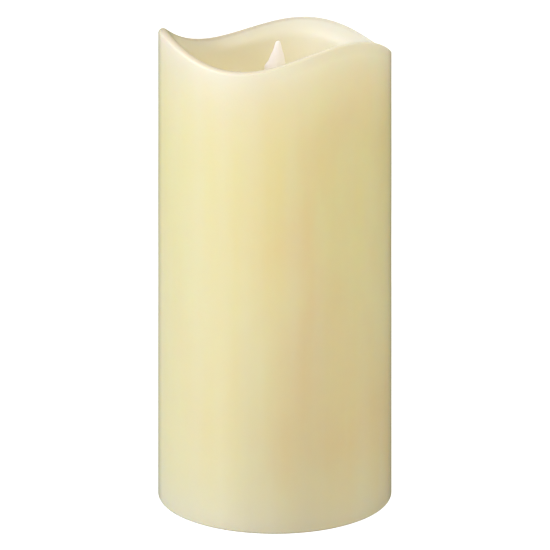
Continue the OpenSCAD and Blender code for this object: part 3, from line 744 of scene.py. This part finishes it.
def coil_windings():
    """The drive coil as wound wire: its outside is one long helix of turns side by side."""
    low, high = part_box("drive_coil")
    outer, bottom, top = high.x / MM, low.z / MM, high.z / MM
    inner = outer - WINDING_DEPTH
    turns = round((top - bottom) / WIRE_PITCH)
    along = np.linspace(0, turns, turns * WIRE_STEPS + 1)
    rows = []
    for i in range(COIL_SIDES):
        a = 2 * math.pi * i / COIL_SIDES
        groove = 1 - np.abs(np.sin(math.pi * (along + i / COIL_SIDES)))
        r = outer - WIRE_RELIEF * groove
        z = bottom + (top - bottom) * along / turns
        r = np.concatenate([r, [inner, inner]])
        z = np.concatenate([z, [top, bottom]])
        rows.append(np.stack([r * math.cos(a), r * math.sin(a), z], -1))
    coil = grid_object("coil_windings", np.array(rows))
    finish_piece(coil, enamelled_copper("coil_copper"), "candle", "drive_coil")


# ---------------------------------------------------------------- CAD parts that stay

def dress_cad_parts():
    dress(plastic("cream_plastic", CREAM_PLASTIC), "base_chassis", "chassis_cover", "battery_door",
          "mechanism_housing", "aperture_cap")
    dress(plated_metal("zinc_steel", ZINC), "chassis_screws", "board_screws", "housing_screws")
    dress(plated_metal("tin_plate", TIN, gloss=0.34), "switch_case", "led_leads")
    dress(plated_metal("nickel_spring", NICKEL, gloss=0.24), "negative_contact", "positive_contact",
          "bridge_contact", "pivot_wire")
    dress(plated_metal("cell_can", CAN_STEEL, 0.00015, 0.2), "aa_cell_front", "aa_cell_rear")
    dress(plated_metal("magnet_nickel", MAGNET_NICKEL, 0.00012, 0.16), "flame_magnet")
    dress(plastic("switch_black", BLACK, 0.0001), "switch_slider", "switch_knob")
    dress(plastic("bobbin_nylon", NYLON, 0.00015, 0.38), "coil_bobbin")
    dress(plastic("wire_red", WIRE_RED, 0.0001, 0.36), "battery_wire_red")
    dress(plastic("wire_black", BLACK, 0.0001, 0.36), "battery_wire_black")
    dress(plastic("wire_white", WIRE_WHITE, 0.0001, 0.36), "led_wires")
    dress(enamelled_copper("coil_wire"), "coil_wires")
    for node, body_half in TIPPED_PARTS.items():
        dress(tipped(node, body_half), node)
    dress(board(), "control_board")
    dress(capacitor(), "smoothing_capacitor")
    dress(clear_epoxy(), "led_lens")
    for node in ("aa_cell_front_sleeve", "aa_cell_rear_sleeve"):
        dress(cell_sleeve(node), node)


# ---------------------------------------------------------------- stage

def floor():
    """Pale floor with a hole under the candle. It bounces less light than it shows, and it is clear from
    below, so that the underside is lit and can be looked at."""
    phi = np.arange(FLOOR_SIDES) * 2 * math.pi / FLOOR_SIDES
    rings = [np.stack([r * np.cos(phi), r * np.sin(phi), 0 * phi], -1)
             for r in (FLOOR_RADIUS / MM, cad_box[1].x / MM - FOOT_ROUND)]
    made = grid_object("floor", np.array(rings), loop_rows=False, capped=False)
    s = Shader("pale_floor")
    seen = s.add("LightPath").outputs["Is Camera Ray"]
    under = s.add("NewGeometry").outputs["Backfacing"]
    s.set(Base_Color=s.mix(seen, FLOOR_BOUNCE, FLOOR_LOOK), Roughness=0.9, Specular_IOR_Level=0.1,
          Emission_Color=(1, 1, 1, 1), Emission_Strength=s.math("MULTIPLY", seen, FLOOR_GLOW),
          Alpha=s.math("SUBTRACT", 1.0, under))
    made.data.materials.append(s.material)


def softbox(name, colour, bearing, height, size, power, reach, aim):
    """Square light at a bearing in degrees round the candle, where 0 is the camera's side and 90 the right,
    and so many degrees up. It stands reach metres from a point aim metres up the candle, and faces it."""
    turn, lift = math.radians(bearing), math.radians(height)
    data = bpy.data.lights.new(name, "AREA")
    data.shape = "SQUARE"
    data.size = size
    data.energy = power
    data.color = colour
    made = bpy.data.objects.new(name, data)
    away = Vector((math.cos(lift) * math.sin(turn), -math.cos(lift) * math.cos(turn), math.sin(lift)))
    made.location = Vector((0, 0, aim)) + reach * away
    made.rotation_euler = away.to_track_quat("Z", "Y").to_euler()
    bpy.context.scene.collection.objects.link(made)


def lights():
    """A cool softbox low on the left, a nearer one up on the right, one below the floor for the underside,
    and warm light from all round."""
    world = bpy.data.worlds.new("studio")
    world.use_nodes = True
    tree = world.node_tree
    seen = tree.nodes.new("ShaderNodeLightPath").outputs["Is Camera Ray"]
    choice = tree.nodes.new("ShaderNodeMix")
    choice.data_type = "RGBA"
    choice.inputs[6].default_value = [WORLD_STRENGTH * c for c in WORLD_COLOUR]
    choice.inputs[7].default_value = WORLD_LOOK
    tree.links.new(seen, choice.inputs[0])
    tree.links.new(choice.outputs[2], tree.nodes["Background"].inputs["Color"])
    bpy.context.scene.world = world
    softbox("key", COOL_LIGHT, bearing=-66, height=19, size=0.8, power=15.9, reach=1.5, aim=0.08)
    softbox("under", COOL_LIGHT, bearing=200, height=-60, size=0.5, power=4.0, reach=0.8, aim=0.0)
    softbox("fill", NEUTRAL_LIGHT, bearing=36, height=40, size=0.6, power=7.1, reach=1.1, aim=0.12)


def camera():
    data = bpy.data.cameras.new("camera")
    data.lens = CAMERA_LENS
    data.sensor_width = CAMERA_SENSOR
    data.shift_x = CAMERA_SHIFT[0]
    made = bpy.data.objects.new("camera", data)
    made.location = CAMERA_PLACE
    made.rotation_mode = "XYZ"
    made.rotation_euler = (math.pi / 2, 0, 0)
    bpy.context.scene.collection.objects.link(made)
    bpy.context.scene.camera = made
    drive_shift(made)


def drive_shift(cam):
    """Keeps the lens shift for this camera's own view only: another view turns the camera by quaternion,
    which is rotation mode 0, and then looks straight at the candle with no shift."""
    curve = cam.data.driver_add("shift_y")
    curve.driver.type = "SUM"
    mode = curve.driver.variables.new()
    mode.targets[0].id = cam
    mode.targets[0].data_path = "rotation_mode"
    for modifier in list(curve.modifiers):
        curve.modifiers.remove(modifier)
    while curve.keyframe_points:
        curve.keyframe_points.remove(curve.keyframe_points[0])
    scale = curve.modifiers.new("GENERATOR")
    scale.poly_order = 1
    scale.coefficients = (0, CAMERA_SHIFT[1])


# ---------------------------------------------------------------- build

wax_pillar()
flame()
coil_windings()
dress_cad_parts()
floor()
lights()
camera()
bpy.context.scene.view_settings.view_transform = "Standard"
